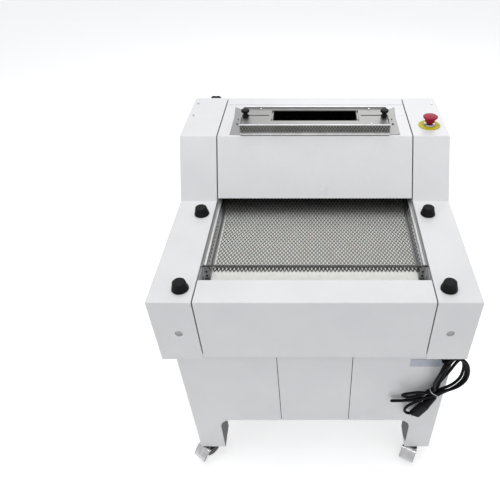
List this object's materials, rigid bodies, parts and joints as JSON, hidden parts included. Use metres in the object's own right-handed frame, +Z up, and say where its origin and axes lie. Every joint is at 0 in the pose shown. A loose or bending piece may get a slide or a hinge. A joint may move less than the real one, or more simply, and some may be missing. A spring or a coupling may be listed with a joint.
{
  "type": "dough moulder",
  "caption": "Floor-standing dough moulder: feed hopper over sheeting rolls, wire mat on a belt, discharge tray, hand adjusters, white cabinet on castors.",
  "frame": {"origin": "floor level, under the middle of the machine measured without the mains cord", "axes": "+X to the right seen from the feed-out front, +Y from that front towards the operator side, +Z up"},
  "size_m": [0.747, 0.8321, 0.8824],
  "materials": {
    "white_paint": "powder coat",
    "frame_paint": "satin paint",
    "stainless": "polished",
    "chrome": "bright plate",
    "steel": "machined",
    "roll_plastic": "turned",
    "black_plastic": "moulded",
    "belt_fabric": "woven",
    "motor_paint": "satin paint",
    "yellow_plastic": "moulded",
    "red_plastic": "moulded",
    "green_plastic": "moulded",
    "bezel_plastic": "moulded",
    "indicator_plastic": "moulded",
    "wheel_rubber": "moulded",
    "cord_rubber": "moulded"
  },
  "bodies": {
    "cabinet": {"base_left_shell": "white_paint", "base_right_shell": "white_paint", "base_centre_panels": "white_paint", "deck_plate": "frame_paint", "left_side_frame": "frame_paint", "right_side_frame": "frame_paint", "frame_bearings": "steel", "left_side_cover": "white_paint", "right_side_cover": "white_paint", "front_cover": "white_paint", "hood": "white_paint", "operator_cover": "white_paint", "cover_screws": "chrome", "cover_knobs": "black_plastic", "hopper": "stainless", "conveyor_belt": "belt_fabric", "belt_bed": "frame_paint", "side_guides": "stainless", "guard_rods": "chrome", "mesh_mat": "stainless", "gear_motor": "motor_paint", "drive_chains": "steel", "stop_button_base": "yellow_plastic", "button_bezels": "bezel_plastic", "position_indicator": "indicator_plastic", "adjuster_dials": "chrome", "rear_castor_forks": "chrome", "cord_gland": "black_plastic", "power_cord": "cord_rubber", "cord_hank": "cord_rubber", "power_plug": "cord_rubber"},
    "castor_fl": {"castor_fork_fl": "chrome"},
    "castor_fr": {"castor_fork_fr": "chrome"},
    "wheel_fl": {"castor_wheel_fl": "wheel_rubber"},
    "wheel_fr": {"castor_wheel_fr": "wheel_rubber"},
    "wheel_rl": {"castor_wheel_rl": "wheel_rubber"},
    "wheel_rr": {"castor_wheel_rr": "wheel_rubber"},
    "pedal_fl": {"brake_pedal_fl": "chrome"},
    "pedal_fr": {"brake_pedal_fr": "chrome"},
    "guide_left": {"left_dough_guide": "stainless", "left_guide_knob": "black_plastic"},
    "guide_right": {"right_dough_guide": "stainless", "right_guide_knob": "black_plastic"},
    "upper_carriage": {"upper_roll_blocks": "steel"},
    "lower_carriage": {"lower_roll_blocks": "steel"},
    "roll_upper_front": {"upper_front_roll": "roll_plastic"},
    "roll_upper_rear": {"upper_rear_roll": "roll_plastic"},
    "roll_lower_front": {"lower_front_roll": "roll_plastic"},
    "roll_lower_rear": {"lower_rear_roll": "roll_plastic"},
    "drum_front": {"front_drum": "steel"},
    "drum_rear": {"rear_drum": "steel"},
    "motor_shaft": {"motor_sprocket": "steel"},
    "board": {"pressure_board": "stainless"},
    "board_knob": {"pressure_knob": "black_plastic"},
    "tray": {"discharge_tray": "stainless"},
    "stop_head": {"stop_button_head": "red_plastic"},
    "start_cap": {"start_button": "green_plastic"},
    "halt_cap": {"halt_button": "red_plastic"},
    "handwheel": {"gap_handwheel": "black_plastic"},
    "lever": {"gap_lever": "black_plastic"}
  },
  "joints": [
    {"name": "castor_fl_swivel", "type": "hinge", "parent": "cabinet", "child": "castor_fl", "pos_m": [-0.304, -0.337, 0], "axis": [0, 0, 1], "continuous": true},
    {"name": "wheel_fl_spin", "type": "hinge", "parent": "castor_fl", "child": "wheel_fl", "pos_m": [-0.31631, -0.35276, 0.029], "axis": [0.788, -0.6157, 0], "continuous": true},
    {"name": "brake_fl_press", "type": "hinge", "parent": "castor_fl", "child": "pedal_fl", "pos_m": [-0.31631, -0.35276, 0.029], "axis": [0.788, -0.6157, 0], "range_deg": [0, 14]},
    {"name": "castor_fr_swivel", "type": "hinge", "parent": "cabinet", "child": "castor_fr", "pos_m": [0.304, -0.337, 0], "axis": [0, 0, 1], "continuous": true},
    {"name": "wheel_fr_spin", "type": "hinge", "parent": "castor_fr", "child": "wheel_fr", "pos_m": [0.29461, -0.35466, 0.029], "axis": [0.8829, -0.4695, 0], "continuous": true},
    {"name": "brake_fr_press", "type": "hinge", "parent": "castor_fr", "child": "pedal_fr", "pos_m": [0.29461, -0.35466, 0.029], "axis": [0.8829, -0.4695, 0], "range_deg": [0, 14]},
    {"name": "wheel_rl_spin", "type": "hinge", "parent": "cabinet", "child": "wheel_rl", "pos_m": [-0.304, 0.295, 0.029], "axis": [1, 0, 0], "continuous": true},
    {"name": "wheel_rr_spin", "type": "hinge", "parent": "cabinet", "child": "wheel_rr", "pos_m": [0.304, 0.295, 0.029], "axis": [1, 0, 0], "continuous": true},
    {"name": "guide_left_slide", "type": "slide", "parent": "cabinet", "child": "guide_left", "axis": [1, 0, 0], "range_m": [0, 0.054]},
    {"name": "guide_right_slide", "type": "slide", "parent": "cabinet", "child": "guide_right", "axis": [-1, 0, 0], "range_m": [0, 0.054]},
    {"name": "rear_drum_spin", "type": "hinge", "parent": "cabinet", "child": "drum_rear", "pos_m": [0, 0.237, 0.613], "axis": [1, 0, 0], "continuous": true},
    {"name": "front_drum_spin", "type": "hinge", "parent": "cabinet", "child": "drum_front", "pos_m": [0, -0.323, 0.613], "axis": [1, 0, 0], "continuous": true},
    {"name": "upper_rear_spin", "type": "hinge", "parent": "cabinet", "child": "roll_upper_rear", "pos_m": [0, 0.2, 0.79], "axis": [1, 0, 0], "continuous": true},
    {"name": "lower_rear_spin", "type": "hinge", "parent": "cabinet", "child": "roll_lower_rear", "pos_m": [0, 0.2, 0.712], "axis": [1, 0, 0], "continuous": true},
    {"name": "motor_spin", "type": "hinge", "parent": "cabinet", "child": "motor_shaft", "pos_m": [0, 0.197, 0.43], "axis": [1, 0, 0], "continuous": true},
    {"name": "upper_gap_slide", "type": "slide", "parent": "cabinet", "child": "upper_carriage", "axis": [0, -1, 0], "range_m": [0, 0.006]},
    {"name": "lower_gap_slide", "type": "slide", "parent": "cabinet", "child": "lower_carriage", "axis": [0, -1, 0], "range_m": [0, 0.006]},
    {"name": "upper_front_spin", "type": "hinge", "parent": "upper_carriage", "child": "roll_upper_front", "pos_m": [0, 0.124, 0.79], "axis": [1, 0, 0], "continuous": true},
    {"name": "lower_front_spin", "type": "hinge", "parent": "lower_carriage", "child": "roll_lower_front", "pos_m": [0, 0.124, 0.712], "axis": [1, 0, 0], "continuous": true},
    {"name": "gap_handwheel_turn", "type": "hinge", "parent": "cabinet", "child": "handwheel", "pos_m": [-0.312, 0.337, 0.79], "axis": [0, 1, 0], "range_deg": [0, 360]},
    {"name": "gap_lever_turn", "type": "hinge", "parent": "cabinet", "child": "lever", "pos_m": [-0.302, 0.337, 0.576], "axis": [0, -1, 0], "range_deg": [0, 90]},
    {"name": "pressure_knob_turn", "type": "hinge", "parent": "cabinet", "child": "board_knob", "pos_m": [-0.22, 0.337, 0.469], "axis": [0, 1, 0], "range_deg": [0, 270]},
    {"name": "pressure_board_lift", "type": "slide", "parent": "cabinet", "child": "board", "axis": [0, 0, 1], "range_m": [0, 0.012]},
    {"name": "discharge_tray_open", "type": "hinge", "parent": "cabinet", "child": "tray", "pos_m": [0, 0.328, 0.534], "axis": [-1, 0, 0], "range_deg": [0, 90]},
    {"name": "stop_button_press", "type": "slide", "parent": "cabinet", "child": "stop_head", "axis": [0, 0, -1], "range_m": [0, 0.004]},
    {"name": "start_button_press", "type": "slide", "parent": "cabinet", "child": "start_cap", "axis": [0, -1, 0], "range_m": [0, 0.004], "stiffness_N_per_m": 400},
    {"name": "halt_button_press", "type": "slide", "parent": "cabinet", "child": "halt_cap", "axis": [0, -1, 0], "range_m": [0, 0.004], "stiffness_N_per_m": 400}
  ],
  "couplings": [
    {"joint": "front_drum_spin", "follows": "rear_drum_spin", "ratio": 1},
    {"joint": "upper_rear_spin", "follows": "rear_drum_spin", "ratio": 1},
    {"joint": "lower_rear_spin", "follows": "rear_drum_spin", "ratio": 1},
    {"joint": "upper_front_spin", "follows": "rear_drum_spin", "ratio": -1},
    {"joint": "lower_front_spin", "follows": "rear_drum_spin", "ratio": -1},
    {"joint": "motor_spin", "follows": "rear_drum_spin", "ratio": 2},
    {"joint": "gap_handwheel_turn", "follows": "upper_gap_slide", "rad_per_m": 1046.9},
    {"joint": "gap_lever_turn", "follows": "lower_gap_slide", "rad_per_m": 261.51},
    {"joint": "pressure_knob_turn", "follows": "pressure_board_lift", "rad_per_m": 392.55}
  ]
}
